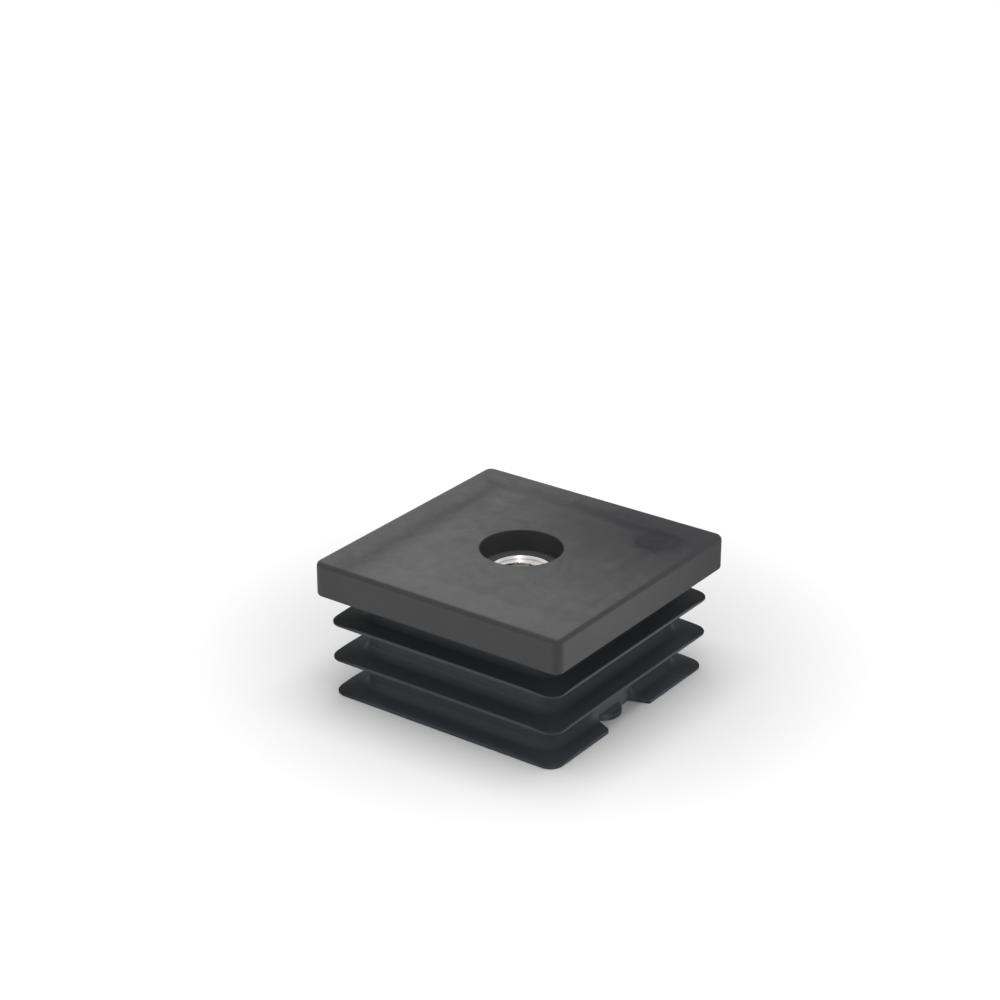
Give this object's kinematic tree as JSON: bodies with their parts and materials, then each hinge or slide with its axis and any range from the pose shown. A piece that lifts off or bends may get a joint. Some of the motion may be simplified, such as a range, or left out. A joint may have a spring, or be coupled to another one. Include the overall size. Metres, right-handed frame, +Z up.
{
  "type": "tube end cap",
  "caption": "Square end cap for a steel tube: a thick flat head on a finned hollow stem, with a sunk threaded steel insert in the middle.",
  "frame": {"origin": "middle of the stem's foot, in the plane that the cap stands on", "axes": "+Z up along the thread's axis, out of the head; +X towards the side of the lowest fin that has the notch; the head's sides lie along X and Y"},
  "size_m": [0.04, 0.04, 0.02],
  "materials": {
    "black_plastic": "fine matt moulded texture, black",
    "zinc_steel": "bright zinc plate on turned steel"
  },
  "bodies": {
    "root": {"cap_body": "black_plastic", "threaded_insert": "zinc_steel"}
  },
  "joints": []
}
